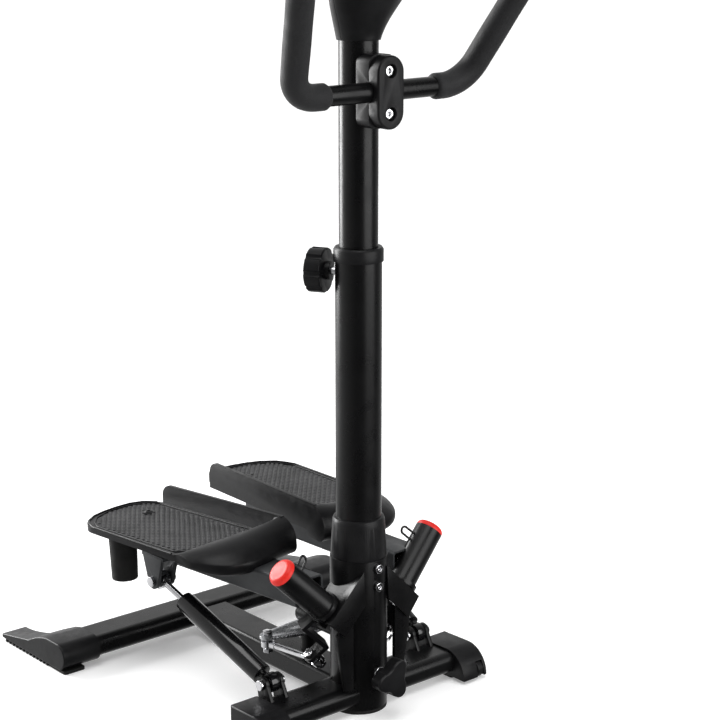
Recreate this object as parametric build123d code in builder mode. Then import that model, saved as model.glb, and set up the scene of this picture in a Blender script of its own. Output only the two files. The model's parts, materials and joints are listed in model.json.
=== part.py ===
from build123d import *
import os
from math import atan2, cos, degrees, radians, sin, sqrt

# Twist stepper with a handlebar post. Millimetres, X to the right, -Y to the post's front,
# +Y to the user's side, +Z up. The origin lies on the floor on the axis of the post.

# Posts
LOWER_POST_R = 30.0
LOWER_POST_BOTTOM = 120.0
LOWER_POST_TOP = 618.0
UPPER_POST_R = 25.0
UPPER_POST_BOTTOM = 380.0
UPPER_POST_TOP = 900.0
TUBE_WALL = 2.0
SOCKET_R = 38.0
SOCKET_BORE_R = 35.0
SOCKET_BOTTOM = 5.0
SOCKET_TOP = 213.0
SOCKET_BOLTS = (178.0, 203.0)

# Base bars
BAR_WIDTH = 60.0
BAR_HEIGHT = 30.0
BAR_CORNER = 12.0
BAR_Z = 25.0
FRONT_HALF = 171.0
REAR_HALF = 244.0
REAR_Y = 362.0
CAP_START = 146.0
CAP_END = 190.0
BEAM_WIDTH = 56.0
BEAM_HEIGHT = 30.0
BEAM_Z = 23.0

# Transport wheels
WHEEL_R = 12.0
WHEEL_WIDTH = 10.0
WHEEL_X = 178.0
WHEEL_Y = -40.0
WHEEL_Z = 13.0

# Rear feet
FOOT_START = 196.0
FOOT_END = 256.0
FOOT_TIP_Y = 498.0

# Pedal pivots: one inclined shaft on each side
PIVOT_TOP = Vector(126, 1, 216)
PIVOT_DIR = Vector(1, 0.15, 1).normalized()
SLEEVE_R = 19.0
SLEEVE_LENGTH = 86.0
SLEEVE_BORE_R = 14.0
SHAFT_R = 10.0
BUSH_LENGTH = 18.0
LEVER_HUB = -86.0
LEVER_TAB = -133.0
LEVER_PLATE = 6.0
LEVER_LEG_REACH = 34.0
RUNNING_GAP = 0.05
REST_SWING = 2.0

# Pedals, in the plane of the tread
PEDAL_CORNER = Vector(26, 129, 213.5)
PEDAL_YAW = 3.3
PEDAL_PITCH = 1.5
PEDAL_WIDTH = 150.0
PLATE_THICKNESS = 9.0
WALL_HEIGHT = 28.0
WALL_THICKNESS = 5.0
WALL_END = 245.0
WALL_BOTTOM = -12.0
BUMPER_AT = (110, 204)

# Hydraulic cylinders
CYLINDER_FOOT = Vector(128, 27, 58)
CYLINDER_HEAD = Vector(148, 236, 153)
CYLINDER_R = 14.0
ROD_R = 4.5
EYE_R = 13.0
EYE_HALF = 6.0
EYE_BORE_R = 8.6
EYE_BUSH_R = 6.8
EAR_GAP_HALF = 9.5
EAR_THICKNESS = 5.0
EAR_R = 11.0
EAR_STARTS = (-EAR_GAP_HALF - EAR_THICKNESS, EAR_GAP_HALF)

# Rocker and links
ROCKER_Y = 106.0
ROCKER_Z = 76.0
ROCKER_THICKNESS = 4.0
ROCKER_PER_SWING = 0.77
LINK_REAR = Vector(66, 114, 68)
LINK_FRONT = Vector(61, 13, 76)
LINK_EYE_R = 9.0
LINK_EYE_HALF = 4.0
LINK_BORE_R = 6.0
LINK_BUSH_R = 4.8
LINK_HEX_R = 5.5

# Handlebar
BAR_R = 12.5
GRIP_R = 17.0
HANDLE_Z = 822.0
HANDLE_Y = -41.0
HANDLE_CORNER_X = 137.0
HANDLE_BEND_R = 45.0
HANDLE_TOP = 1078.0
ARM_SLOPE = Vector(0.31, -0.525, 1.0)

# Knobs
KNOB_R = 29.0
KNOB_SIDE_ANGLE = 29.0
HEIGHT_KNOB_Z = 590.0
FRONT_KNOB_Z = 57.0

# Console
CONSOLE_TILT = 38.0
CONSOLE_CENTRE = Vector(0, -52, 1018)

os.makedirs("parts", exist_ok=True)
SIDES = (("left", -1), ("right", 1))


def save(part, label):
    """Name one finished piece and write it."""
    part.label = label
    export_step(part, f"parts/{label}.step")


def on_side(part, side):
    """The right-hand piece, or its mirror image for the left side."""
    return part if side > 0 else mirror(part, about=Plane.YZ)


def point_on_side(point, side):
    return Vector(side * point.X, point.Y, point.Z)


def pivot_axis(side):
    """Axis of one pedal's pivot, pointing up and outward."""
    return Axis(point_on_side(PIVOT_TOP, side), point_on_side(PIVOT_DIR, side))


def swung(shape, side):
    """Place a piece of the level right-hand pedal on its side, turned to its rest position."""
    return on_side(shape, side).rotate(pivot_axis(side), REST_SWING)


def swung_point(point, side):
    axis = pivot_axis(side)
    arm = point_on_side(point, side) - axis.position
    return axis.position + arm.rotate(Axis((0, 0, 0), axis.direction), REST_SWING)


def along(start, direction, x_dir=None):
    """A plane across a direction, with its origin at a point."""
    return Plane(origin=start, x_dir=x_dir, z_dir=direction)


def across_x(x):
    """A plane across X with the Y and Z axes as its own, at a distance x."""
    return Plane(origin=(x, 0, 0), x_dir=(0, 1, 0), z_dir=(1, 0, 0))


def facing_front(y, z):
    """A plane across Y that faces the front, with X to the right."""
    return Plane(origin=(0, y, z), x_dir=(1, 0, 0), z_dir=(0, -1, 0))


def pivot_plane(distance):
    """A plane across the right pivot; its x runs along Y, at a distance from the top end."""
    origin = PIVOT_TOP + PIVOT_DIR * distance
    side_dir = Vector(0, 1, 0) - PIVOT_DIR * Vector(0, 1, 0).dot(PIVOT_DIR)
    return Plane(origin=origin, x_dir=side_dir.normalized(), z_dir=PIVOT_DIR)


def drill(radius, plane, amount, both=False):
    """Cut a round hole from a plane out of the part being built."""
    with BuildSketch(plane) as hole:
        Circle(radius)
    extrude(hole.sketch, amount=amount, both=both, mode=Mode.SUBTRACT)


def rounded_bar(half_length, y, z, width, height, corner, wall):
    """A rectangular tube with round corners along X."""
    section = Plane(origin=(-half_length, y, z), x_dir=(0, 1, 0), z_dir=(1, 0, 0))
    with BuildPart() as bar:
        with BuildSketch(section):
            RectangleRounded(width, height, corner)
            RectangleRounded(width - 2 * wall, height - 2 * wall, corner - wall, mode=Mode.SUBTRACT)
        extrude(amount=2 * half_length)
    return bar.part


# Base frame

save(rounded_bar(FRONT_HALF, 0, BAR_Z, BAR_WIDTH, BAR_HEIGHT, BAR_CORNER, TUBE_WALL), "front_crossbar")
save(rounded_bar(REAR_HALF, REAR_Y, BAR_Z, BAR_WIDTH, BAR_HEIGHT, BAR_CORNER, TUBE_WALL), "rear_crossbar")

with BuildPart() as base_socket:
    with BuildSketch(Plane.XY.offset(SOCKET_BOTTOM)):
        Circle(SOCKET_R)
        Circle(SOCKET_BORE_R, mode=Mode.SUBTRACT)
    extrude(amount=SOCKET_TOP - SOCKET_BOTTOM)
    with BuildSketch(Plane(origin=(-2 * SOCKET_R, 0, BAR_Z), x_dir=(0, 1, 0), z_dir=(1, 0, 0))):
        RectangleRounded(BAR_WIDTH + 0.1, BAR_HEIGHT + 0.1, BAR_CORNER)
    extrude(amount=4 * SOCKET_R, mode=Mode.SUBTRACT)
    for bolt_z in SOCKET_BOLTS:
        drill(4.1, facing_front(-SOCKET_BORE_R + 3, bolt_z), 10)
    drill(5.1, facing_front(-SOCKET_BORE_R + 3, FRONT_KNOB_Z), 10)
save(base_socket.part, "base_socket")

beam_start = sqrt(SOCKET_R**2 - (BEAM_WIDTH / 2) ** 2)
beam_end = REAR_Y - BAR_WIDTH / 2
with BuildPart() as main_beam:
    with BuildSketch(Plane(origin=(0, beam_start, BEAM_Z), x_dir=(1, 0, 0), z_dir=(0, 1, 0))):
        RectangleRounded(BEAM_WIDTH, BEAM_HEIGHT, 5)
        RectangleRounded(BEAM_WIDTH - 2 * TUBE_WALL, BEAM_HEIGHT - 2 * TUBE_WALL, 3, mode=Mode.SUBTRACT)
    extrude(amount=beam_end - beam_start - 0.05)
    with BuildSketch(Plane.XY):
        Circle(SOCKET_R + 0.05)
    extrude(amount=60, mode=Mode.SUBTRACT)
    with BuildSketch(Plane(origin=(-50, 0, BAR_Z), x_dir=(0, 1, 0), z_dir=(1, 0, 0))):
        RectangleRounded(BAR_WIDTH + 0.1, BAR_HEIGHT + 0.1, BAR_CORNER)
    extrude(amount=100, mode=Mode.SUBTRACT)
save(main_beam.part.solids().sort_by(SortBy.VOLUME)[-1], "main_beam")

for name, side in SIDES:
    with BuildPart() as end_cap:
        with BuildSketch(across_x(CAP_START)):
            with BuildLine():
                Polyline((33, 42), (-16, 43))
                ThreePointArc((-16, 43), (-41, 32), (-52, 5))
                Polyline((-52, 5), (33, 5), (33, 42))
            make_face()
        extrude(amount=CAP_END - CAP_START)
        fillet(end_cap.edges().group_by(Axis.X)[-1], 3)
        with BuildSketch(across_x(CAP_START)):
            with Locations((0, BAR_Z)):
                RectangleRounded(BAR_WIDTH + 0.1, BAR_HEIGHT + 0.1, BAR_CORNER)
        extrude(amount=FRONT_HALF - CAP_START + 1, mode=Mode.SUBTRACT)
        with BuildSketch(across_x(WHEEL_X - WHEEL_WIDTH / 2 - 1)):
            with Locations((WHEEL_Y - 6, WHEEL_Z - 2)):
                Rectangle(2 * WHEEL_R + 12, 2 * WHEEL_R + 6)
        extrude(amount=WHEEL_WIDTH + 2, mode=Mode.SUBTRACT)
        with BuildSketch(across_x(WHEEL_X - 8)):
            with Locations((WHEEL_Y, WHEEL_Z)):
                Circle(3.05)
        extrude(amount=16, mode=Mode.SUBTRACT)
    save(on_side(end_cap.part, side), f"front_end_cap_{name}")

    with BuildPart() as wheel:
        with BuildSketch(across_x(WHEEL_X - WHEEL_WIDTH / 2)):
            with Locations((WHEEL_Y, WHEEL_Z)):
                Circle(WHEEL_R)
                Circle(3.0 + RUNNING_GAP, mode=Mode.SUBTRACT)
        extrude(amount=WHEEL_WIDTH)
        rims = wheel.edges().filter_by(GeomType.CIRCLE).filter_by(lambda e: e.radius > 5)
        fillet(rims, 2)
    save(on_side(wheel.part, side), f"transport_wheel_{name}")

    with BuildPart() as rear_foot:
        with BuildSketch(across_x(FOOT_START)):
            with BuildLine():
                ThreePointArc((REAR_Y - 15, 5), (REAR_Y - 34, 24), (REAR_Y - 15, 43))
                Line((REAR_Y - 15, 43), (REAR_Y + 14, 43))
                ThreePointArc((REAR_Y + 14, 43), (REAR_Y + 36, 37), (REAR_Y + 62, 25))
                Polyline((REAR_Y + 62, 25), (FOOT_TIP_Y, 11), (FOOT_TIP_Y, 5), (REAR_Y - 15, 5))
            make_face()
        extrude(amount=FOOT_END - FOOT_START)
        with BuildSketch(Plane.XY):
            with BuildLine():
                Line((FOOT_START - 1, REAR_Y + 33), (FOOT_START + 4, REAR_Y + 33))
                Spline(
                    (FOOT_START + 4, REAR_Y + 33),
                    (FOOT_START + 22, REAR_Y + 62),
                    (FOOT_START + 26, REAR_Y + 100),
                    (FOOT_START + 20, FOOT_TIP_Y + 1),
                )
                Line((FOOT_START + 20, FOOT_TIP_Y + 1), (FOOT_START - 1, FOOT_TIP_Y + 1))
                Line((FOOT_START - 1, FOOT_TIP_Y + 1), (FOOT_START - 1, REAR_Y + 33))
            make_face()
        extrude(amount=60, mode=Mode.SUBTRACT)
        with BuildSketch(across_x(FOOT_START)):
            with Locations((REAR_Y, BAR_Z)):
                RectangleRounded(BAR_WIDTH + 0.1, BAR_HEIGHT + 0.1, BAR_CORNER)
        extrude(amount=REAR_HALF - FOOT_START + 1, mode=Mode.SUBTRACT)
        fillet(rear_foot.edges().group_by(Axis.X)[-1], 2)
    save(on_side(rear_foot.part, side), f"rear_foot_{name}")

with BuildPart() as foot_pads:
    with BuildSketch(Plane.XY):
        Circle(SOCKET_R)
        for side in (-1, 1):
            with Locations((side * (CAP_START + 13), 3)):
                RectangleRounded(20, 52, 4)
            with Locations((side * (FOOT_END - 20), REAR_Y - 2)):
                RectangleRounded(34, 56, 4)
            with Locations((side * (FOOT_END - 19), REAR_Y + 84)):
                RectangleRounded(28, 96, 4)
    extrude(amount=SOCKET_BOTTOM)
save(foot_pads.part, "foot_pads")

with BuildPart() as wheel_axles:
    for side in (-1, 1):
        with BuildSketch(across_x(side * WHEEL_X)):
            with Locations((WHEEL_Y, WHEEL_Z)):
                Circle(3.0)
        extrude(amount=7.8, both=True)
save(wheel_axles.part, "wheel_axles")

# Pivot brackets: a channel across each inclined shaft, with a leg down to the front bar

BRACKET_TOP = -SLEEVE_LENGTH - 3.0
BRACKET_DEPTH = 32.0
BRACKET_PLATE = 5.0
BRACKET_SPAN = 50.0
BRACKET_OUTWARD = 17.0
with BuildPart() as bracket:
    with BuildSketch(pivot_plane(BRACKET_TOP)):
        with Locations((-1, 42 - BRACKET_OUTWARD)):
            Rectangle(BRACKET_SPAN, 84)
    extrude(amount=-BRACKET_DEPTH)
    with BuildSketch(pivot_plane(BRACKET_TOP - BRACKET_PLATE - 1)):
        with Locations((-1, 25)):
            Rectangle(BRACKET_SPAN - 2 * BRACKET_PLATE, 120)
    extrude(amount=-BRACKET_DEPTH, mode=Mode.SUBTRACT)
    with BuildSketch(Plane.XZ.offset(27)):
        Polygon((36, 150), (62, 122), (60, 96), (50, 41), (36, 41), align=None)
    extrude(amount=5)
    with BuildSketch(Plane.XY):
        Circle(SOCKET_R + 0.05)
    extrude(amount=260, mode=Mode.SUBTRACT)
    with BuildSketch(Plane.XY):
        with Locations((-80, 0)):
            Rectangle(200, 200)
    extrude(amount=260, mode=Mode.SUBTRACT)
    drill(SHAFT_R + 0.05, pivot_plane(BRACKET_TOP), 20, both=True)
right_bracket = bracket.part.solids().sort_by(SortBy.VOLUME)[-1]
save(Compound([mirror(right_bracket, about=Plane.YZ), right_bracket]), "pivot_brackets")

with BuildPart() as shaft:
    with BuildSketch(pivot_plane(BRACKET_TOP - BRACKET_PLATE - 5)):
        Circle(SHAFT_R)
    extrude(amount=-BRACKET_TOP + BRACKET_PLATE + 5 - 14)
    with BuildSketch(pivot_plane(BRACKET_TOP + 0.05)):
        Circle(SHAFT_R + 5)
    extrude(amount=2.4)
shafts = [on_side(solid, side) for side in (-1, 1) for solid in shaft.part.solids()]
save(Compound(shafts), "pivot_shafts")

# Lower post and its fittings

KNOB_DIR = Vector(-sin(radians(KNOB_SIDE_ANGLE)), cos(radians(KNOB_SIDE_ANGLE)), 0)


def knob_plane(distance, z=HEIGHT_KNOB_Z):
    """A plane across the height knob's screw, at a distance from the post's axis."""
    return Plane(origin=KNOB_DIR * distance + Vector(0, 0, z), x_dir=(0, 0, 1), z_dir=KNOB_DIR)


with BuildPart() as lower_post:
    with BuildSketch(Plane.XY.offset(LOWER_POST_BOTTOM)):
        Circle(LOWER_POST_R)
        Circle(LOWER_POST_R - TUBE_WALL, mode=Mode.SUBTRACT)
    extrude(amount=LOWER_POST_TOP - LOWER_POST_BOTTOM)
    for bolt_z in SOCKET_BOLTS:
        drill(4.1, facing_front(-20, bolt_z), 30)
    drill(6, knob_plane(20), 14)
save(lower_post.part, "lower_post")

with BuildPart() as post_sleeve:
    with BuildSketch(Plane.XZ):
        with BuildLine():
            Polyline((30.1, 130), (34.9, 130), (34.9, SOCKET_TOP + 0.1), (37, SOCKET_TOP + 0.1))
            Polyline((37, SOCKET_TOP + 0.1), (34.5, 262), (33, 266), (30.1, 267), (30.1, 130))
        make_face()
    revolve(axis=Axis.Z)
    for bolt_z in SOCKET_BOLTS:
        drill(4.1, facing_front(-20, bolt_z), 30)
save(post_sleeve.part, "post_sleeve")

with BuildPart() as socket_bolts:
    for bolt_z in SOCKET_BOLTS:
        with BuildSketch(Plane(origin=(0, -SOCKET_R, bolt_z), x_dir=(1, 0, 0), z_dir=(0, -1, 0))):
            Circle(6)
        extrude(amount=5)
        with BuildSketch(Plane(origin=(0, -SOCKET_R, bolt_z), x_dir=(1, 0, 0), z_dir=(0, 1, 0))):
            Circle(4)
        extrude(amount=12)
        with BuildSketch(Plane(origin=(0, -SOCKET_R - 5, bolt_z), x_dir=(1, 0, 0), z_dir=(0, 1, 0))):
            RegularPolygon(2.6, 6)
        extrude(amount=3, mode=Mode.SUBTRACT)
save(socket_bolts.part, "socket_bolts")

with BuildPart() as top_bush:
    with BuildSketch(Plane.XZ):
        with BuildLine():
            Polyline((25.06, 560), (27.95, 560), (27.95, LOWER_POST_TOP + 0.05))
            Polyline((27.95, LOWER_POST_TOP + 0.05), (30.05, LOWER_POST_TOP + 0.05), (30.05, 606), (32, 606))
            Polyline((32, 606), (32, 621), (30, 624), (25.06, 624), (25.06, 560))
        make_face()
    revolve(axis=Axis.Z)
    drill(6, knob_plane(20), 14)
save(top_bush.part, "top_bush")

with BuildPart() as height_knob:
    with BuildSketch(knob_plane(43)):
        Circle(KNOB_R)
        with PolarLocations(KNOB_R + 1.5, 8):
            Circle(4.5, mode=Mode.SUBTRACT)
    extrude(amount=22)
    fillet(height_knob.edges().filter_by(GeomType.CIRCLE).filter_by(lambda e: e.radius > 20), 2)
    with BuildSketch(knob_plane(37)):
        Circle(12)
    extrude(amount=6)
    with BuildSketch(knob_plane(36)):
        Circle(4.95)
    extrude(amount=20, mode=Mode.SUBTRACT)
save(height_knob.part, "height_knob")

with BuildPart() as height_knob_screw:
    with BuildSketch(knob_plane(25.4)):
        Circle(4.9)
    extrude(amount=29)
save(height_knob_screw.part, "height_knob_screw")

with BuildPart() as front_knob:
    with BuildSketch(Plane(origin=(0, -58, FRONT_KNOB_Z), x_dir=(1, 0, 0), z_dir=(0, -1, 0))):
        Circle(13)
        with PolarLocations(18, 3, 60):
            Circle(10.5)
        make_hull()
    extrude(amount=17)
    with BuildSketch(Plane(origin=(0, -58, FRONT_KNOB_Z), x_dir=(1, 0, 0), z_dir=(0, -1, 0))):
        with PolarLocations(31, 3):
            Circle(14)
    extrude(amount=17, mode=Mode.SUBTRACT)
    fillet(front_knob.edges().group_by(Axis.Y)[0], 2.5)
    with BuildSketch(Plane(origin=(0, -58, FRONT_KNOB_Z), x_dir=(1, 0, 0), z_dir=(0, 1, 0))):
        Circle(9)
    extrude(amount=13)
    with BuildSketch(Plane(origin=(0, -70, FRONT_KNOB_Z), x_dir=(1, 0, 0), z_dir=(0, 1, 0))):
        Circle(4.95)
    extrude(amount=40, mode=Mode.SUBTRACT)
save(front_knob.part, "front_knob")

with BuildPart() as front_knob_screw:
    with BuildSketch(Plane(origin=(0, -69, FRONT_KNOB_Z), x_dir=(1, 0, 0), z_dir=(0, 1, 0))):
        Circle(4.9)
    extrude(amount=44)
    with BuildSketch(Plane(origin=(0, -44.5, FRONT_KNOB_Z), x_dir=(1, 0, 0), z_dir=(0, 1, 0))):
        Circle(9)
    extrude(amount=4)
save(front_knob_screw.part, "front_knob_screw")

# Upper post, clamp and handlebar

with BuildPart() as upper_post:
    with BuildSketch(Plane.XY.offset(UPPER_POST_BOTTOM)):
        Circle(UPPER_POST_R)
        Circle(UPPER_POST_R - TUBE_WALL, mode=Mode.SUBTRACT)
    extrude(amount=UPPER_POST_TOP - UPPER_POST_BOTTOM)
save(upper_post.part, "upper_post")

CLAMP_WIDTH = 42.0
CLAMP_HEIGHT = 90.0
CLAMP_SPLIT = -44.0
CLAMP_FRONT = -62.0
CLAMP_BOLTS = (HANDLE_Z - 26, HANDLE_Z + 26)


HANDLE_BORE = Plane(origin=(-60, HANDLE_Y, HANDLE_Z), x_dir=(0, 1, 0), z_dir=(1, 0, 0))
with BuildPart() as clamp_rear:
    with BuildSketch(facing_front(-20, HANDLE_Z)):
        RectangleRounded(CLAMP_WIDTH, CLAMP_HEIGHT, 12)
    extrude(amount=-20 - CLAMP_SPLIT - 0.2)
    with BuildSketch(Plane.XY.offset(700)):
        Circle(UPPER_POST_R + 0.05)
    extrude(amount=300, mode=Mode.SUBTRACT)
    drill(BAR_R + 0.05, HANDLE_BORE, 120)
    for bolt_z in CLAMP_BOLTS:
        with BuildSketch(facing_front(-20, bolt_z)):
            Circle(4.1)
        extrude(amount=40, mode=Mode.SUBTRACT)
save(clamp_rear.part, "clamp_rear")

with BuildPart() as clamp_front:
    with BuildSketch(facing_front(CLAMP_SPLIT, HANDLE_Z)):
        SlotOverall(CLAMP_HEIGHT, CLAMP_WIDTH, rotation=90)
    extrude(amount=CLAMP_SPLIT - CLAMP_FRONT)
    fillet(clamp_front.edges().group_by(Axis.Y)[0], 3)
    drill(BAR_R + 0.05, HANDLE_BORE, 120)
    for bolt_z in CLAMP_BOLTS:
        with BuildSketch(facing_front(CLAMP_SPLIT + 1, bolt_z)):
            Circle(4.1)
        extrude(amount=30, mode=Mode.SUBTRACT)
        with BuildSketch(facing_front(CLAMP_FRONT + 9, bolt_z)):
            Circle(8.5)
        extrude(amount=12, mode=Mode.SUBTRACT)
save(clamp_front.part, "clamp_front")

with BuildPart() as clamp_bolts:
    for bolt_z in CLAMP_BOLTS:
        with BuildSketch(facing_front(-26, bolt_z)):
            Circle(4)
        extrude(amount=-26 - CLAMP_FRONT - 9)
        with BuildSketch(facing_front(CLAMP_FRONT + 9, bolt_z)):
            Circle(6.5)
            RegularPolygon(2.9, 6, mode=Mode.SUBTRACT)
        extrude(amount=6)
        with BuildSketch(facing_front(CLAMP_FRONT + 9, bolt_z)):
            Circle(6.5)
        extrude(amount=1.5)
save(clamp_bolts.part, "clamp_bolts")

arm_rise = HANDLE_TOP - HANDLE_Z


def handle_points(start_x):
    """Right half of the handlebar's centre line: inner point, corner, and top end."""
    corner = Vector(HANDLE_CORNER_X, HANDLE_Y, HANDLE_Z)
    return Vector(start_x, HANDLE_Y, HANDLE_Z), corner, corner + ARM_SLOPE * arm_rise


right_start, right_corner, right_top = handle_points(0)
left_corner = point_on_side(right_corner, -1)
left_top = point_on_side(right_top, -1)
with BuildPart() as handlebar:
    with BuildLine() as bar_path:
        FilletPolyline(left_top, left_corner, right_corner, right_top, radius=HANDLE_BEND_R)
    with BuildSketch(Plane(origin=bar_path.line @ 0, z_dir=bar_path.line % 0)):
        Circle(BAR_R)
        Circle(BAR_R - TUBE_WALL, mode=Mode.SUBTRACT)
    sweep()
save(handlebar.part, "handlebar")

GRIP_START_X = 86.0
arm_dir = ARM_SLOPE.normalized()
for name, side in SIDES:
    grip_start, grip_corner, grip_top = handle_points(GRIP_START_X)
    with BuildPart() as grip:
        with BuildLine() as grip_path:
            FilletPolyline(grip_start, grip_corner, grip_top - arm_dir * 6, radius=HANDLE_BEND_R)
        with BuildSketch(Plane(origin=grip_path.line @ 0, z_dir=grip_path.line % 0)):
            Circle(GRIP_R)
            Circle(BAR_R + 0.05, mode=Mode.SUBTRACT)
        sweep()
    save(on_side(grip.part, side), f"grip_{name}")

with BuildPart() as end_plug:
    with BuildSketch(along(right_top - arm_dir * 5.9, arm_dir)):
        Circle(GRIP_R - 0.5)
        Circle(BAR_R + 0.05, mode=Mode.SUBTRACT)
    extrude(amount=6)
    with BuildSketch(along(right_top + arm_dir * 0.1, arm_dir)):
        Circle(GRIP_R - 0.5)
    extrude(amount=4)
    fillet(end_plug.edges().filter_by(GeomType.CIRCLE).sort_by(Axis.Z)[-1], 3)
plugs = [solid for side in (-1, 1) for solid in on_side(end_plug.part, side).solids()]
save(Compound(plugs), "grip_end_plugs")

# Console neck and display

CONSOLE_NORMAL = Vector(0, sin(radians(CONSOLE_TILT)), cos(radians(CONSOLE_TILT)))


def console_plane(height):
    """A plane parallel to the display's face, with X to the user's left."""
    return Plane(origin=CONSOLE_CENTRE + CONSOLE_NORMAL * height, x_dir=(1, 0, 0), z_dir=CONSOLE_NORMAL)


NECK_BOTTOM = 882.0
with BuildPart() as neck:
    with BuildSketch(Plane.XY.offset(NECK_BOTTOM)):
        Circle(27.5)
    with BuildSketch(Plane(origin=(0, -4, 906), x_dir=(1, 0, 0), z_dir=(0, -0.08, 1))):
        Ellipse(38, 30)
    with BuildSketch(Plane(origin=(0, -13, 932), x_dir=(1, 0, 0), z_dir=(0, -0.14, 1))):
        Ellipse(51, 35)
    with BuildSketch(Plane(origin=(0, -34, 990), x_dir=(1, 0, 0), z_dir=(0, -0.16, 1))):
        Ellipse(62, 37)
    loft()
    with BuildSketch(Plane.XY.offset(NECK_BOTTOM - 1)):
        Circle(UPPER_POST_R + 0.05)
    extrude(amount=UPPER_POST_TOP - NECK_BOTTOM + 1.2, mode=Mode.SUBTRACT)
    with BuildSketch(console_plane(-23)):
        Rectangle(300, 300)
    extrude(amount=200, mode=Mode.SUBTRACT)
NECK_SPLIT = Plane(origin=(0, 0, NECK_BOTTOM), x_dir=(1, 0, 0), z_dir=Vector(0, 1, 0.28).normalized())
neck_front = split(neck.part, bisect_by=NECK_SPLIT.offset(-0.1), keep=Keep.BOTTOM)
neck_rear = split(neck.part, bisect_by=NECK_SPLIT.offset(0.1), keep=Keep.TOP)
save(neck_front, "neck_front")
save(neck_rear, "neck_rear")

with BuildPart() as console_housing:
    with BuildSketch(console_plane(-22.8)):
        RectangleRounded(128, 92, 24)
    with BuildSketch(console_plane(0)):
        RectangleRounded(150, 112, 30)
    loft()
    with BuildSketch(console_plane(0)):
        with Locations((0, 10)):
            RectangleRounded(104, 58, 8)
    extrude(amount=-4, mode=Mode.SUBTRACT)
    with BuildSketch(console_plane(0)):
        with Locations((0, -36)):
            Circle(9.4)
    extrude(amount=-8, mode=Mode.SUBTRACT)
save(console_housing.part, "console_housing")

with BuildPart() as console_lens:
    with BuildSketch(console_plane(-3.9)):
        with Locations((0, 10)):
            RectangleRounded(103.6, 57.6, 7.8)
    extrude(amount=3.4)
save(console_lens.part, "console_lens")

with BuildPart() as console_button:
    with BuildSketch(console_plane(-5.5)):
        with Locations((0, -36)):
            Circle(9)
    extrude(amount=8)
    fillet(console_button.edges().sort_by(lambda e: e.center().dot(CONSOLE_NORMAL))[-1], 1.5)
save(console_button.part, "console_button")

# Pedals

yaw, pitch = radians(PEDAL_YAW), radians(PEDAL_PITCH)
PEDAL_BACK = Vector(sin(yaw) * cos(pitch), cos(yaw) * cos(pitch), -sin(pitch))
PEDAL_OUT = Vector(cos(yaw), -sin(yaw), 0)
PEDAL_UP = PEDAL_OUT.cross(PEDAL_BACK)


def tread_plane(height):
    """A plane along the right tread: x points outward and y to the heel."""
    return Plane(origin=PEDAL_CORNER + PEDAL_UP * height, x_dir=PEDAL_OUT, z_dir=PEDAL_UP)


def pedal_point(out, back, height):
    return PEDAL_CORNER + PEDAL_OUT * out + PEDAL_BACK * back + PEDAL_UP * height


def toe_section(out, points):
    """Section of the toe shell across the pedal's width, drawn in its length and height."""
    with BuildSketch(Plane(origin=pedal_point(out, 0, 0), x_dir=PEDAL_BACK, z_dir=PEDAL_OUT)) as section:
        with BuildLine():
            ThreePointArc(*points[:3])
            ThreePointArc(*points[2:5])
            Polyline(*points[4:], points[0])
        make_face()
    return section.sketch


ARM_X = 84.0
ARM_WIDTH = 48.0
ARM_HEIGHT = 36.0
ARM_LENGTH = 316.0
ARM_PLANE = Plane(origin=(ARM_X, 0, 182), x_dir=(1, 0, 0), z_dir=(0, 1, -0.03))
with BuildPart() as pedal_shell:
    with BuildSketch(tread_plane(-PLATE_THICKNESS)):
        with BuildLine():
            Polyline((3, 252), (-2, 240), (-2, -10), (128, -10), (PEDAL_WIDTH, 44), (143, 228))
            Spline((143, 228), (128, 258), (86, 278), (37, 281), (3, 252), tangents=((-0.05, 1), (-0.5, -1)))
        make_face()
    extrude(amount=PLATE_THICKNESS)
    with BuildSketch(Plane(origin=pedal_point(-2, 0, 0), x_dir=PEDAL_BACK, z_dir=PEDAL_OUT)):
        with BuildLine():
            bend = (WALL_END - 15, WALL_HEIGHT)
            bend_end = (WALL_END, WALL_HEIGHT - 18)
            Line((-8, WALL_HEIGHT), bend)
            ThreePointArc(bend, (WALL_END - 4, WALL_HEIGHT - 6), bend_end)
            Polyline(bend_end, (WALL_END, WALL_BOTTOM), (-8, WALL_BOTTOM), (-8, WALL_HEIGHT))
        make_face()
    extrude(amount=WALL_THICKNESS)
    loft(
        [
            toe_section(-2, ((-4, 28), (-26, 14), (-32, -6), (-30, -16), (-18, -22), (6, -20), (6, 28))),
            toe_section(70, ((10, 16), (-28, 8), (-42, -8), (-40, -18), (-24, -26), (17, -9), (17, 0))),
            toe_section(128, ((30, 6.5), (-8, 4), (-25, -6), (-25, -15), (-12, -20), (37, -9), (37, 0))),
            toe_section(149, ((38, 1.5), (22, 0), (12, -4), (12, -9), (18, -12), (46, -9), (46, 0))),
        ]
    )
    with BuildSketch(tread_plane(-PLATE_THICKNESS)):
        Polygon((28, 0), (66, 0), (52, 200), (16, 200), align=None)
    extrude(amount=-10)
    with BuildSketch(ARM_PLANE):
        RectangleRounded(ARM_WIDTH + 0.2, ARM_HEIGHT + 0.2, 5)
    extrude(amount=ARM_LENGTH + 6, mode=Mode.SUBTRACT)
for name, side in SIDES:
    save(swung(pedal_shell.part.solids().sort_by(SortBy.VOLUME)[-1], side), f"pedal_{name}")

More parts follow.
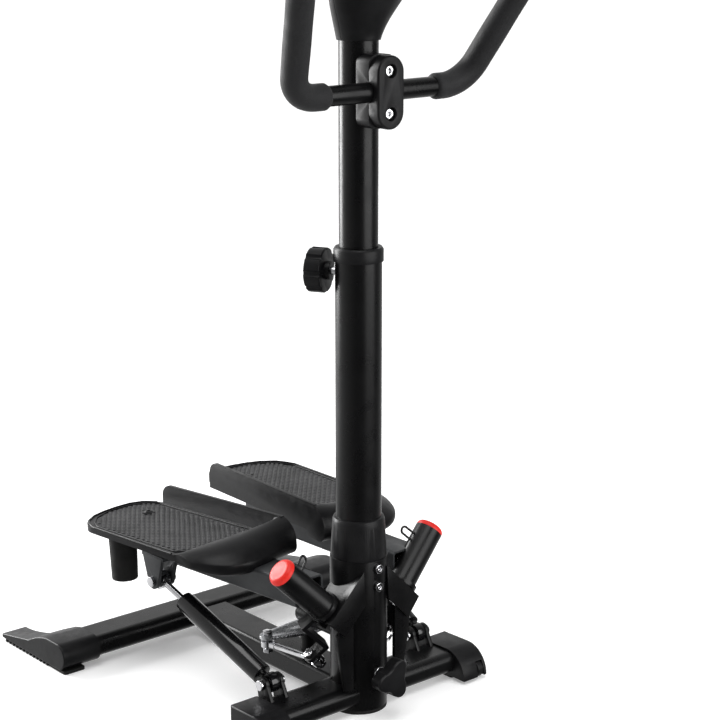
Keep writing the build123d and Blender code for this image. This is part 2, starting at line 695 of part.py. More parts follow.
with BuildPart() as pedal_arm:
    with BuildSketch(ARM_PLANE):
        RectangleRounded(ARM_WIDTH, ARM_HEIGHT, 5)
        RectangleRounded(ARM_WIDTH - 6, ARM_HEIGHT - 6, 3, mode=Mode.SUBTRACT)
    extrude(amount=ARM_LENGTH)
    with BuildSketch(Plane(origin=(128, CYLINDER_HEAD.Y - 24, 188.5), x_dir=(1, 0, 0), z_dir=(0, 1, 0))):
        Rectangle(68, 5)
    extrude(amount=48)
    for ear_x in EAR_STARTS:
        ear_plane = Plane(origin=CYLINDER_HEAD + Vector(ear_x, 0, 0), x_dir=(0, 1, 0), z_dir=(1, 0, 0))
        with BuildSketch(ear_plane):
            Circle(EAR_R)
            Polygon((-EAR_R, 0), (EAR_R, 0), (22, 36), (-22, 36), align=None)
        extrude(amount=EAR_THICKNESS)
    drill(4.05, Plane(origin=CYLINDER_HEAD, z_dir=(1, 0, 0)), 60, both=True)
    drill(SLEEVE_R + 0.05, pivot_plane(-SLEEVE_LENGTH - 20), SLEEVE_LENGTH + 60)
    drill(SLEEVE_R + 3.1, pivot_plane(LEVER_HUB - 10), LEVER_PLATE + 10.1)
arm = pedal_arm.part.solids().sort_by(SortBy.VOLUME)[-1]

EYELET_DIR = Vector(-0.70, 0.255, 0.665)
eyelet_out = (EYELET_DIR - PIVOT_DIR * EYELET_DIR.dot(PIVOT_DIR)).normalized()
eyelet_foot = PIVOT_TOP - PIVOT_DIR * 22 + eyelet_out * (SLEEVE_R - 1)
lever_foot = PIVOT_TOP + PIVOT_DIR * (LINK_FRONT - PIVOT_TOP).dot(PIVOT_DIR)
lever_reach = (LINK_FRONT - lever_foot).length
lever_out = (LINK_FRONT - lever_foot).normalized()


def lever_plane(distance):
    """A plane across the pivot, with its x towards the link's bolt."""
    return Plane(origin=PIVOT_TOP + PIVOT_DIR * distance, x_dir=lever_out, z_dir=PIVOT_DIR)


with BuildPart() as sleeve:
    with BuildSketch(pivot_plane(-SLEEVE_LENGTH)):
        Circle(SLEEVE_R)
    extrude(amount=SLEEVE_LENGTH)
    with BuildSketch(lever_plane(LEVER_HUB)):
        Circle(SLEEVE_R + 3)
        with Locations((LEVER_LEG_REACH - 5, 0)):
            Rectangle(20, 20)
    extrude(amount=LEVER_PLATE)
    with BuildSketch(lever_plane(LEVER_TAB)):
        with Locations((LEVER_LEG_REACH + 2.5, 0)):
            Rectangle(5, 20)
    extrude(amount=LEVER_HUB - LEVER_TAB + LEVER_PLATE)
    with BuildSketch(lever_plane(LEVER_TAB)):
        with Locations((lever_reach, 0)):
            Circle(10)
        with Locations(((LEVER_LEG_REACH + lever_reach) / 2, 0)):
            Rectangle(lever_reach - LEVER_LEG_REACH, 20)
    extrude(amount=LEVER_PLATE)
    with BuildLine() as eyelet:
        leg = eyelet_out * 16
        near, far = eyelet_foot - PIVOT_DIR * 5, eyelet_foot + PIVOT_DIR * 5
        Line(near, near + leg)
        ThreePointArc(near + leg, eyelet_foot + leg + eyelet_out * 5, far + leg)
        Line(far + leg, far)
    with BuildSketch(Plane(origin=eyelet.line @ 0, z_dir=eyelet.line % 0)):
        Circle(1.6)
    sweep()
    drill(SLEEVE_BORE_R, pivot_plane(-SLEEVE_LENGTH - 1), SLEEVE_LENGTH + 2)
    drill(4.05, Plane(origin=LINK_FRONT, z_dir=PIVOT_DIR), 30)

with BuildPart() as bushes:
    for start in (-SLEEVE_LENGTH, -14 - BUSH_LENGTH):
        with BuildSketch(pivot_plane(start)):
            Circle(SLEEVE_BORE_R - 0.02)
            Circle(SHAFT_R + RUNNING_GAP, mode=Mode.SUBTRACT)
        extrude(amount=BUSH_LENGTH)

with BuildPart() as sleeve_cap:
    with BuildSketch(pivot_plane(-9)):
        Circle(SLEEVE_BORE_R - 0.05)
    extrude(amount=9)
    with BuildSketch(pivot_plane(0)):
        Circle(SLEEVE_R)
    extrude(amount=8)
    fillet(sleeve_cap.edges().filter_by(GeomType.CIRCLE).sort_by(Axis((0, 0, 0), PIVOT_DIR))[-1], 7)

with BuildPart() as bumper:
    with BuildSketch(tread_plane(-PLATE_THICKNESS - 0.1)):
        with Locations(BUMPER_AT):
            Circle(20)
    extrude(amount=-68, taper=1.5)
    fillet(bumper.edges().sort_by(Axis.Z)[0], 2)

LINK_BOLT = Plane(origin=LINK_FRONT, z_dir=PIVOT_DIR)
TAB_OFFSET = LEVER_TAB - (LINK_FRONT - PIVOT_TOP).dot(PIVOT_DIR)


def eye_bolt(centre):
    """Bolt along X through a cylinder's eye, with a bush, a head and a nut."""
    with BuildPart(mode=Mode.PRIVATE) as bolt:
        outer = EAR_GAP_HALF + EAR_THICKNESS + 0.1
        for start, end, radius in (
            (-outer - 3, outer + 3, 4),
            (0.1 - EAR_GAP_HALF, EAR_GAP_HALF - 0.1, EYE_BUSH_R),
            (outer, outer + 5, 7),
            (-outer - 5, -outer, 7),
        ):
            with BuildSketch(Plane(origin=centre + Vector(start, 0, 0), z_dir=(1, 0, 0))) as disc:
                Circle(radius)
            extrude(disc.sketch, amount=end - start)
    return bolt.part


with BuildPart() as link_bolt:
    bolt_shank = (-7, TAB_OFFSET + LEVER_PLATE + 13, 4)
    bolt_bush = (-6, TAB_OFFSET + 5.9, LINK_BUSH_R)
    for start, length, radius in (bolt_shank, bolt_bush):
        with BuildSketch(LINK_BOLT.offset(start)):
            Circle(radius)
        extrude(amount=length)
    for start in (-11, TAB_OFFSET + LEVER_PLATE + 0.1):
        with BuildSketch(LINK_BOLT.offset(start)):
            RegularPolygon(7, 6)
        extrude(amount=5)
pedal_bolts = Compound([eye_bolt(CYLINDER_HEAD), link_bolt.part.solids()[0]])

for name, side in SIDES:
    save(swung(arm, side), f"pedal_arm_{name}")
    save(swung(sleeve.part, side), f"pivot_sleeve_{name}")
    save(swung(sleeve_cap.part, side), f"sleeve_cap_{name}")
    save(swung(Compound(bushes.part.solids()), side), f"pivot_bushes_{name}")
    save(swung(bumper.part, side), f"bumper_{name}")
    save(swung(pedal_bolts, side), f"pedal_bolts_{name}")

# Hydraulic cylinders

with BuildPart() as ears:
    for side in (-1, 1):
        for ear_x in EAR_STARTS:
            ear_origin = Vector(side * CYLINDER_FOOT.X + ear_x, CYLINDER_FOOT.Y, CYLINDER_FOOT.Z)
            with BuildSketch(Plane(origin=ear_origin, x_dir=(0, 1, 0), z_dir=(1, 0, 0))):
                Circle(EAR_R)
                Polygon((-EAR_R, 0), (EAR_R, 0), (5, -30), (-26, -30), align=None)
            extrude(amount=EAR_THICKNESS)
    with BuildSketch(Plane(origin=(-200, 0, BAR_Z), x_dir=(0, 1, 0), z_dir=(1, 0, 0))):
        RectangleRounded(BAR_WIDTH + 0.1, BAR_HEIGHT + 0.1, BAR_CORNER)
    extrude(amount=400, mode=Mode.SUBTRACT)
    drill(4.05, Plane(origin=(0, CYLINDER_FOOT.Y, CYLINDER_FOOT.Z), z_dir=(1, 0, 0)), 200, both=True)
save(Compound([s for s in ears.part.solids() if s.center().Z > 42]), "cylinder_ears")

base_bolts = [eye_bolt(point_on_side(CYLINDER_FOOT, side)) for side in (-1, 1)]
save(Compound(base_bolts), "cylinder_base_bolts")

BODY_START, BODY_END = 17.0, 172.0
NECK_START, NECK_R = 7.0, 6.0
GLAND_END = 178.0
BORE_START = 26.0
PISTON_R = 8.0
GLAND_BORE_R = 6.8
ROD_LENGTH = 171.0
for name, side in SIDES:
    foot = point_on_side(CYLINDER_FOOT, side)
    head = swung_point(CYLINDER_HEAD, side)
    direction = (head - foot).normalized()
    with BuildPart() as cylinder:
        with BuildSketch(along(foot + direction * BODY_START, direction)):
            Circle(CYLINDER_R)
        extrude(amount=BODY_END - BODY_START)
        with BuildSketch(along(foot + direction * NECK_START, direction)):
            Circle(NECK_R)
        extrude(amount=BODY_START - NECK_START)
        with BuildSketch(along(foot + direction * BODY_END, direction)):
            Circle(CYLINDER_R - 1)
        extrude(amount=GLAND_END - BODY_END)
        with BuildSketch(Plane(origin=foot - Vector(EYE_HALF, 0, 0), z_dir=(1, 0, 0))):
            Circle(EYE_R)
        extrude(amount=2 * EYE_HALF)
        drill(CYLINDER_R - 2.5, along(foot + direction * BORE_START, direction), BODY_END - BORE_START - 2)
        drill(GLAND_BORE_R, along(foot + direction * (BODY_END - 10), direction), 30)
        drill(EYE_BORE_R, Plane(origin=foot, z_dir=(1, 0, 0)), 20, both=True)
    save(cylinder.part, f"cylinder_{name}")
    with BuildPart() as rod:
        with BuildSketch(along(head, direction)):
            Circle(ROD_R)
        extrude(amount=-ROD_LENGTH)
        with BuildSketch(along(head - direction * ROD_LENGTH, direction)):
            Circle(PISTON_R)
        extrude(amount=12)
        eye_axis = swung_point(CYLINDER_HEAD + Vector(side, 0, 0), side) - head
        with BuildSketch(Plane(origin=head, z_dir=eye_axis)):
            Circle(EYE_R)
        extrude(amount=EYE_HALF, both=True)
        drill(EYE_BORE_R, Plane(origin=head, z_dir=(1, 0, 0)), 20, both=True)
    save(rod.part, f"cylinder_rod_{name}")

# Rocker across the main beam, and the links to the levers

rocker_axis = Axis((0, ROCKER_Y, ROCKER_Z), (0, 0, 1))
rocker_rest = REST_SWING * ROCKER_PER_SWING
with BuildPart() as rocker:
    with BuildSketch(Plane.XY.offset(ROCKER_Z)):
        with Locations((0, ROCKER_Y)):
            RectangleRounded(44, 46, 6)
        with Locations((-LINK_REAR.X, LINK_REAR.Y), (LINK_REAR.X, LINK_REAR.Y)):
            Circle(11)
        make_hull()
        with Locations((0, ROCKER_Y)):
            Circle(6 + RUNNING_GAP, mode=Mode.SUBTRACT)
        with Locations((-LINK_REAR.X, LINK_REAR.Y), (LINK_REAR.X, LINK_REAR.Y)):
            Circle(4.05, mode=Mode.SUBTRACT)
    extrude(amount=ROCKER_THICKNESS)
save(rocker.part.rotate(rocker_axis, rocker_rest), "rocker")

with BuildPart() as rocker_bolts:
    for side in (-1, 1):
        with BuildSketch(Plane.XY.offset(LINK_REAR.Z - 8)):
            with Locations((side * LINK_REAR.X, LINK_REAR.Y)):
                Circle(4)
        extrude(amount=ROCKER_Z + ROCKER_THICKNESS - LINK_REAR.Z + 9)
        for start, height in ((ROCKER_Z + ROCKER_THICKNESS + 0.05, 6), (LINK_REAR.Z - 12, 5)):
            with BuildSketch(Plane.XY.offset(start)):
                with Locations((side * LINK_REAR.X, LINK_REAR.Y)):
                    RegularPolygon(7, 6)
            extrude(amount=height)
        with BuildSketch(Plane.XY.offset(LINK_REAR.Z - 6)):
            with Locations((side * LINK_REAR.X, LINK_REAR.Y)):
                Circle(LINK_BUSH_R)
        extrude(amount=ROCKER_Z - LINK_REAR.Z + 5.9)
save(rocker_bolts.part.rotate(rocker_axis, rocker_rest), "rocker_bolts")

with BuildPart() as rocker_pivot:
    with BuildSketch(Plane(origin=(0, 36, 96), x_dir=(1, 0, 0), z_dir=(0, 1, 0))):
        Circle(14)
    extrude(amount=84)
    with BuildSketch(Plane.XY):
        Circle(SOCKET_R + 0.05)
    extrude(amount=200, mode=Mode.SUBTRACT)
    fillet(rocker_pivot.edges().group_by(Axis.Y)[-1], 3)
    with BuildSketch(Plane.XY.offset(BEAM_Z + BEAM_HEIGHT / 2 + 0.05)):
        with Locations((0, ROCKER_Y)):
            Circle(12)
    extrude(amount=ROCKER_Z - 1 - BEAM_Z - BEAM_HEIGHT / 2)
    with BuildSketch(Plane.XY.offset(ROCKER_Z - 2)):
        with Locations((0, ROCKER_Y)):
            Circle(6)
    extrude(amount=14)
save(rocker_pivot.part, "rocker_pivot")


def turned(point, axis_y, angle):
    """A point turned about the rocker's vertical axis."""
    dx, dy = point.X, point.Y - axis_y
    turn = radians(angle)
    return Vector(dx * cos(turn) - dy * sin(turn), axis_y + dx * sin(turn) + dy * cos(turn), point.Z)


for name, side in SIDES:
    rear = turned(point_on_side(LINK_REAR, side), ROCKER_Y, rocker_rest)
    front = swung_point(LINK_FRONT, side)
    direction = (front - rear).normalized()
    with BuildPart() as link:
        with BuildSketch(along(rear + direction * (LINK_EYE_R - 1), direction)):
            Circle(4)
        extrude(amount=(front - rear).length - 2 * LINK_EYE_R + 2)
        for start in (LINK_EYE_R - 2, (front - rear).length - LINK_EYE_R - 8):
            with BuildSketch(along(rear + direction * start, direction)):
                RegularPolygon(LINK_HEX_R, 6)
            extrude(amount=10)
        eye_planes = (along(rear, (0, 0, 1)), along(front, point_on_side(PIVOT_DIR, side)))
        for eye_plane in eye_planes:
            with BuildSketch(eye_plane):
                Circle(LINK_EYE_R)
            extrude(amount=LINK_EYE_HALF, both=True)
        for eye_plane in eye_planes:
            drill(LINK_BORE_R, eye_plane, 20, both=True)
    save(link.part, f"link_{name}")
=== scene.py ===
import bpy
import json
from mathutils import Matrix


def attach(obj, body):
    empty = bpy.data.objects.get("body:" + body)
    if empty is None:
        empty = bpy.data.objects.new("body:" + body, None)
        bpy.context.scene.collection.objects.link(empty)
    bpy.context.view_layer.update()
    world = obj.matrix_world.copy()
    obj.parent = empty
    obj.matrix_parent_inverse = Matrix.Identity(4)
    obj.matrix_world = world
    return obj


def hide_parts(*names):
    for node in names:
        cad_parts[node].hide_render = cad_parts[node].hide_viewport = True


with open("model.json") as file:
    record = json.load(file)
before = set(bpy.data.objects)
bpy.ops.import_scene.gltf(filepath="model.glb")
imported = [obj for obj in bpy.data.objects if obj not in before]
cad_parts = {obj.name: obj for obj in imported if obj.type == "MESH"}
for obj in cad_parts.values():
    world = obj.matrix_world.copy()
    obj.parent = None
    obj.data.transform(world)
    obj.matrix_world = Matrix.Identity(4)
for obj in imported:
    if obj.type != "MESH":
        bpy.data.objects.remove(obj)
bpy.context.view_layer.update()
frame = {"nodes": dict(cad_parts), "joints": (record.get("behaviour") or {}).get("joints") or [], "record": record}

import json
from math import cos, pi, radians, sin, sqrt

import bmesh
import bpy
from mathutils import Matrix, Vector

# A twist stepper with a handlebar post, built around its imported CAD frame. Metres, +Z up,
# -Y to the post's front. CAD nodes keep their shapes; a sharp-edged node is replaced by a
# copy of itself with rounded edges, and soft or fine pieces are made here.

MM = 0.001
SIDES = (("left", -1), ("right", 1))
NODES = frame["nodes"]
JOINTS = {joint["name"]: joint for joint in frame["joints"]}
SLOT_OF = {row["node"]: row["material_slot"] for row in frame["record"]["subparts"]}
BODY_OF = {node: body for body, members in frame["record"]["behaviour"]["bodies"].items() for node in members}


# Materials ---------------------------------------------------------------------------------

FIELD_LOW, FIELD_HIGH = 0.3, 0.7


class Finish:
    """A material under construction: a Principled shader with helper nodes on object coordinates."""

    def __init__(self, name, **values):
        self.material = bpy.data.materials.new(name)
        self.material.use_nodes = True
        self.nodes = self.material.node_tree.nodes
        self.links = self.material.node_tree.links
        self.shader = self.nodes["Principled BSDF"]
        self.place = self.nodes.new("ShaderNodeTexCoord").outputs["Object"]
        for socket, value in values.items():
            self.shader.inputs[socket.replace("_", " ")].default_value = value

    def noise(self, scale, detail=3.0, stretch=None):
        node = self.nodes.new("ShaderNodeTexNoise")
        node.inputs["Scale"].default_value = scale
        node.inputs["Detail"].default_value = detail
        self.links.new(self.stretched(stretch), node.inputs["Vector"])
        return node.outputs["Fac"]

    def cells(self, scale):
        node = self.nodes.new("ShaderNodeTexVoronoi")
        node.inputs["Scale"].default_value = scale
        self.links.new(self.place, node.inputs["Vector"])
        return node.outputs["Distance"]

    def stretched(self, stretch):
        if stretch is None:
            return self.place
        node = self.nodes.new("ShaderNodeMapping")
        node.inputs["Scale"].default_value = stretch
        self.links.new(self.place, node.inputs["Vector"])
        return node.outputs["Vector"]

    def colour(self, field, dark, light, low=FIELD_LOW, high=FIELD_HIGH):
        """Base colour that runs from dark to light over a field."""
        ramp = self.nodes.new("ShaderNodeValToRGB")
        ramp.color_ramp.elements[0].position = low
        ramp.color_ramp.elements[1].position = high
        ramp.color_ramp.elements[0].color = (*dark, 1)
        ramp.color_ramp.elements[1].color = (*light, 1)
        self.links.new(field, ramp.inputs["Fac"])
        self.links.new(ramp.outputs["Color"], self.shader.inputs["Base Color"])
        return self

    def roughness(self, field, low, high):
        node = self.nodes.new("ShaderNodeMapRange")
        node.inputs["From Min"].default_value = FIELD_LOW
        node.inputs["From Max"].default_value = FIELD_HIGH
        node.inputs["To Min"].default_value = low
        node.inputs["To Max"].default_value = high
        self.links.new(field, node.inputs["Value"])
        self.links.new(node.outputs["Result"], self.shader.inputs["Roughness"])
        return self

    def bump(self, field, height):
        """Relief of a field, with its height in metres; calls stack."""
        node = self.nodes.new("ShaderNodeBump")
        node.inputs["Strength"].default_value = 1.0
        node.inputs["Distance"].default_value = height
        self.links.new(field, node.inputs["Height"])
        before = self.shader.inputs["Normal"]
        if before.is_linked:
            self.links.new(before.links[0].from_socket, node.inputs["Normal"])
        self.links.new(node.outputs["Normal"], before)
        return self


def powder_coat():
    finish = Finish("frame_paint", Specular_IOR_Level=0.24)
    finish.colour(finish.noise(9), (0.0022, 0.0022, 0.0024), (0.0045, 0.0045, 0.0048))
    finish.roughness(finish.noise(35, 5), 0.24, 0.36)
    return finish.bump(finish.noise(420, 2), 0.00006)


def enamel():
    finish = Finish("cylinder_paint", Specular_IOR_Level=0.4, Coat_Weight=0.25, Coat_Roughness=0.06)
    finish.colour(finish.noise(14), (0.0025, 0.0025, 0.0028), (0.005, 0.005, 0.0055))
    finish.roughness(finish.noise(60, 4), 0.13, 0.22)
    return finish.bump(finish.noise(260, 2), 0.00004)


def moulded(name, dark, light, low, high, grain):
    """Plastic with a fine grain, its height in metres, and a roughness that runs from low to high."""
    finish = Finish(name, Specular_IOR_Level=0.16)
    finish.colour(finish.noise(24, 4), dark, light)
    finish.roughness(finish.noise(90, 4), low, high)
    finish.bump(finish.cells(1100), grain)
    return finish.bump(finish.noise(45, 3), 0.00008)


def rubber():
    finish = Finish("rubber", Specular_IOR_Level=0.25)
    finish.colour(finish.noise(30, 5), (0.006, 0.006, 0.006), (0.013, 0.013, 0.012))
    finish.roughness(finish.noise(80, 4), 0.62, 0.82)
    return finish.bump(finish.noise(700, 4), 0.00010)


def foam():
    finish = Finish("grip_foam", Sheen_Weight=0.05, Sheen_Roughness=0.5, Specular_IOR_Level=0.25)
    finish.colour(finish.cells(900), (0.003, 0.003, 0.0035), (0.012, 0.012, 0.013), 0.05, 0.6)
    finish.roughness(finish.noise(50, 4), 0.55, 0.72)
    finish.bump(finish.cells(850), 0.00022)
    return finish.bump(finish.noise(120, 5), 0.00016)


def chrome():
    finish = Finish("chrome", Metallic=1.0)
    finish.colour(finish.noise(60, 4), (0.62, 0.62, 0.64), (0.82, 0.82, 0.84))
    finish.roughness(finish.noise(120, 5), 0.06, 0.17)
    return finish.bump(finish.noise(300, 2), 0.00002)


def zinc():
    finish = Finish("zinc_steel", Metallic=1.0)
    finish.colour(finish.cells(160), (0.42, 0.43, 0.45), (0.72, 0.73, 0.75), 0.1, 0.8)
    finish.roughness(finish.noise(220, 4, stretch=(1, 6, 1)), 0.22, 0.40)
    return finish.bump(finish.noise(500, 3, stretch=(1, 5, 1)), 0.00003)


def grey_steel():
    finish = Finish("arm_steel", Metallic=0.35, Specular_IOR_Level=0.3)
    finish.colour(finish.noise(16, 4), (0.022, 0.023, 0.025), (0.042, 0.044, 0.046))
    finish.roughness(finish.noise(60, 4), 0.34, 0.46)
    return finish.bump(finish.noise(420, 3), 0.00006)


def red_plastic():
    finish = Finish("cap_red", Specular_IOR_Level=0.25, Subsurface_Weight=0.08, Subsurface_Scale=0.002)
    finish.colour(finish.noise(40, 3), (0.50, 0.012, 0.008), (0.62, 0.020, 0.013))
    finish.roughness(finish.noise(90, 3), 0.34, 0.44)
    return finish.bump(finish.noise(90, 2), 0.00006)


def lens():
    finish = Finish("display_lens", Coat_Weight=1.0, Coat_Roughness=0.03)
    finish.colour(finish.noise(20, 2), (0.010, 0.012, 0.013), (0.016, 0.019, 0.020))
    return finish.roughness(finish.noise(60, 3), 0.06, 0.12)


DARK_PLASTIC = (0.004, 0.004, 0.0045)
LIGHT_PLASTIC = (0.009, 0.009, 0.0095)
DARK_PEDAL = (0.0035, 0.0035, 0.004)
LIGHT_PEDAL = (0.007, 0.007, 0.0075)
MATERIALS = {
    "frame_paint": powder_coat(),
    "cylinder_paint": enamel(),
    "moulded_plastic": moulded("moulded_plastic", DARK_PLASTIC, LIGHT_PLASTIC, 0.32, 0.44, 0.00005),
    "knob_plastic": moulded("knob_plastic", DARK_PLASTIC, LIGHT_PLASTIC, 0.28, 0.40, 0.00005),
    "pedal_plastic": moulded("pedal_plastic", DARK_PEDAL, LIGHT_PEDAL, 0.28, 0.40, 0.00004),
    "rubber": rubber(),
    "grip_foam": foam(),
    "chrome": chrome(),
    "zinc_steel": zinc(),
    "arm_steel": grey_steel(),
    "cap_red": red_plastic(),
    "display_lens": lens(),
    "button_plastic": moulded("button_plastic", (0.20, 0.21, 0.23), (0.27, 0.28, 0.30), 0.28, 0.38, 0.00003),
}
# The raised tread gets a much lighter copy of the pedal's dark plastic: a painted highlight that stands in for
# light on the tops of the diamonds.
TREAD_PAINTED_HIGHLIGHT = moulded("tread_plastic_painted_highlight", (0.034, 0.034, 0.035), (0.058, 0.058, 0.060), 0.36, 0.50, 0.00006)


# Piece helpers -----------------------------------------------------------------------------

SMOOTH_ANGLE = 35.0
BEVEL_ANGLE = 38.0
FLAT_ANGLE = 0.5
MERGE_DISTANCE = 1e-6
NEARLY_UPRIGHT = 0.9
ARC_STEPS = 14


def finished(piece, body, slot, finish=None, smooth_angle=SMOOTH_ANGLE):
    """Shade a piece, give it its finish and hang it on a body."""
    piece.data.materials.clear()
    piece.data.materials.append((finish or MATERIALS[slot]).material)
    piece.data.shade_smooth()
    piece.data.set_sharp_from_angle(angle=radians(smooth_angle))
    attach(piece, body)
    return piece


def new_piece(name, bm):
    """An object from a bmesh, which is freed."""
    bmesh.ops.recalc_face_normals(bm, faces=bm.faces)
    mesh = bpy.data.meshes.new(name)
    bm.to_mesh(mesh)
    bm.free()
    piece = bpy.data.objects.new(name, mesh)
    bpy.context.scene.collection.objects.link(piece)
    return piece


def applied(piece):
    """Turn a piece's modifiers into its mesh."""
    bpy.context.view_layer.update()
    result = bpy.data.meshes.new_from_object(piece.evaluated_get(bpy.context.evaluated_depsgraph_get()))
    piece.modifiers.clear()
    piece.data = result
    return piece


def bevel(piece, width, segments):
    modifier = piece.modifiers.new("rounded", "BEVEL")
    modifier.width = width
    modifier.segments = segments
    modifier.limit_method = "ANGLE"
    modifier.angle_limit = radians(BEVEL_ANGLE)
    modifier.use_clamp_overlap = True
    return applied(piece)


def rounded(node, width, segments=3):
    """A copy of a CAD node with its sharp edges rounded, in its place."""
    bm = bmesh.new()
    bm.from_mesh(NODES[node].data)
    bmesh.ops.remove_doubles(bm, verts=bm.verts, dist=MERGE_DISTANCE)
    bmesh.ops.dissolve_limit(bm, angle_limit=radians(FLAT_ANGLE), verts=bm.verts, edges=bm.edges)
    piece = new_piece(node + "_shell", bm)
    for leftover in ("custom_normal", "sharp_edge", "sharp_face"):
        if leftover in piece.data.attributes:
            piece.data.attributes.remove(piece.data.attributes[leftover])
    bevel(piece, width, segments)
    finished(piece, BODY_OF[node], SLOT_OF[node])
    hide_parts(node)
    return piece


def ring(bm, centre, across, up, radius, count):
    """A circle of vertices about a centre."""
    angles = [2 * pi * i / count for i in range(count)]
    return [bm.verts.new(centre + across * (radius * cos(a)) + up * (radius * sin(a))) for a in angles]


def skin(bm, rings, closed=False):
    """Quads between successive rings."""
    pairs = list(zip(rings, rings[1:])) + ([(rings[-1], rings[0])] if closed else [])
    for first, second in pairs:
        for i in range(len(first)):
            j = (i + 1) % len(first)
            bm.faces.new((first[i], first[j], second[j], second[i]))


def sweep(name, points, radii, count, closed=False):
    """A round tube along points, with flat ends, its radius given at each point."""
    bm = bmesh.new()
    rings = []
    up = Vector((0, 0, 1))
    total = len(points)
    for i, point in enumerate(points):
        ahead = points[(i + 1) % total] if closed or i < total - 1 else point
        behind = points[i - 1] if closed or i else point
        direction = (ahead - behind).normalized()
        if i == 0 and abs(direction.z) > NEARLY_UPRIGHT:
            up = direction.orthogonal().normalized()
        up = (up - direction * up.dot(direction)).normalized()
        rings.append(ring(bm, point, direction.cross(up), up, radii[i], count))
    skin(bm, rings, closed)
    if not closed:
        bm.faces.new(rings[0])
        bm.faces.new(rings[-1])
    return new_piece(name, bm)


def filleted(corners, radius):
    """Points along straight runs joined by arcs of one radius."""
    path = [corners[0]]
    for before, corner, after in zip(corners, corners[1:], corners[2:]):
        back, ahead = (before - corner).normalized(), (after - corner).normalized()
        half = back.angle(ahead) / 2
        reach = radius / (sin(half) / cos(half))
        bisector = (back + ahead).normalized()
        centre = corner + bisector * (radius / sin(half))
        first, last = corner + back * reach - centre, corner + ahead * reach - centre
        turn = first.rotation_difference(last)
        for i in range(ARC_STEPS + 1):
            path.append(centre + Matrix.Rotation(turn.angle * i / ARC_STEPS, 3, turn.axis) @ first)
    return path + [corners[-1]]


def resampled(path, spacing):
    """The same path with points at most a spacing apart."""
    dense = [path[0]]
    for start, end in zip(path, path[1:]):
        count = max(1, round((end - start).length / spacing))
        dense += [start.lerp(end, i / count) for i in range(1, count + 1)]
    return dense


# CAD nodes: finishes, and rounded edges where they are sharp ---------------------------------

for node, item in NODES.items():
    item.data.materials.clear()
    item.data.materials.append(MATERIALS[SLOT_OF[node]].material)

EDGE_RADII = {
    "base_socket": 0.8, "pivot_brackets": 0.8, "clamp_rear": 2.0, "clamp_front": 0.8, "top_bush": 0.8,
    "post_sleeve": 0.7, "height_knob": 1.2, "front_knob": 1.5, "rocker": 0.9, "rocker_pivot": 1.0,
    "cylinder_ears": 1.0, "socket_bolts": 0.9, "clamp_bolts": 0.7, "cylinder_base_bolts": 1.0,
    "rocker_bolts": 0.9, "console_housing": 4.0, "console_lens": 0.6, "neck_front": 0.8, "neck_rear": 0.8,
    "height_knob_screw": 0.8, "front_knob_screw": 0.8, "foot_pads": 0.8,
}
PAIR_EDGE_RADII = {
    "front_end_cap": 1.2, "rear_foot": 1.8, "pivot_sleeve": 0.7, "pedal": 1.0, "pedal_arm": 1.2, "link": 0.6,
    "cylinder": 1.3, "cylinder_rod": 0.7, "bumper": 1.0, "pedal_bolts": 0.9,
}
for node, radius in EDGE_RADII.items():
    rounded(node, radius * MM)
for stem, radius in PAIR_EDGE_RADII.items():
    for name, side in SIDES:
        rounded(f"{stem}_{name}", radius * MM)


# Pedals: raised tread, its border and screw, and a thin rim along the pedal's edge ------------

PEDAL_CORNER = Vector((0.026, 0.129, 0.2135))
PEDAL_YAW = radians(3.3)
PEDAL_PITCH = radians(1.5)
REST_SWING = radians(2.0)


def pedal_frame(name, side):
    """Matrix from a tread's own (outward, heelward, up) coordinates to its place at rest."""
    back = Vector((sin(PEDAL_YAW) * cos(PEDAL_PITCH), cos(PEDAL_YAW) * cos(PEDAL_PITCH), -sin(PEDAL_PITCH)))
    out = Vector((cos(PEDAL_YAW), -sin(PEDAL_YAW), 0))
    up = out.cross(back)
    level = Matrix((out, back, up)).transposed().to_4x4()
    level.translation = PEDAL_CORNER
    joint = JOINTS[f"pedal_{name}_swing"]
    pivot = Matrix.Translation(joint["pos_m"])
    turn = Matrix.Rotation(REST_SWING, 4, Vector(joint["axis"]))
    return pivot @ turn @ pivot.inverted() @ Matrix.Diagonal((side, 1, 1, 1)) @ level


TREAD_OUTLINE = (
    [(9, 11), (70, 21), (126, 41), (140, 52), (137, 224)]
    + [(128, 242), (112, 259), (86, 270), (60, 273), (38, 271), (18, 262), (9, 246)]
)
LOZENGE = (4.4, 5.4)
LOZENGE_SHARE = 0.64
LOZENGE_PROFILE = ((-0.3, 1.0), (0.5, 1.0), (1.1, 0.62))
TREAD_LENGTH = 290
TREAD_WIDTH = 160
TREAD_SCREW = (47, 223)
SCREW_CLEARANCE = 11
BORDER_MARGIN = 5.0
BEAD_SPACING = 0.006
BEAD_SIDES = 8


def inside(point, outline, margin):
    """Whether a point is inside a convex outline by at least a margin."""
    for (ax, ay), (bx, by) in zip(outline, outline[1:] + outline[:1]):
        length = sqrt((bx - ax) ** 2 + (by - ay) ** 2)
        if ((bx - ax) * (point[1] - ay) - (by - ay) * (point[0] - ax)) / length < margin:
            return False
    return True


def add_lozenge(bm, x, y):
    """One raised diamond with sloping sides, its profile as heights and shares of its size."""
    corners = ((1, 0), (0, 1), (-1, 0), (0, -1))
    rings = []
    for height, share in LOZENGE_PROFILE:
        size = LOZENGE_SHARE * share
        spots = [(x + a * LOZENGE[0] * size, y + b * LOZENGE[1] * size, height) for a, b in corners]
        rings.append([bm.verts.new(spot) for spot in spots])
    skin(bm, rings)
    bm.faces.new(rings[-1])
    bm.faces.new(rings[0])


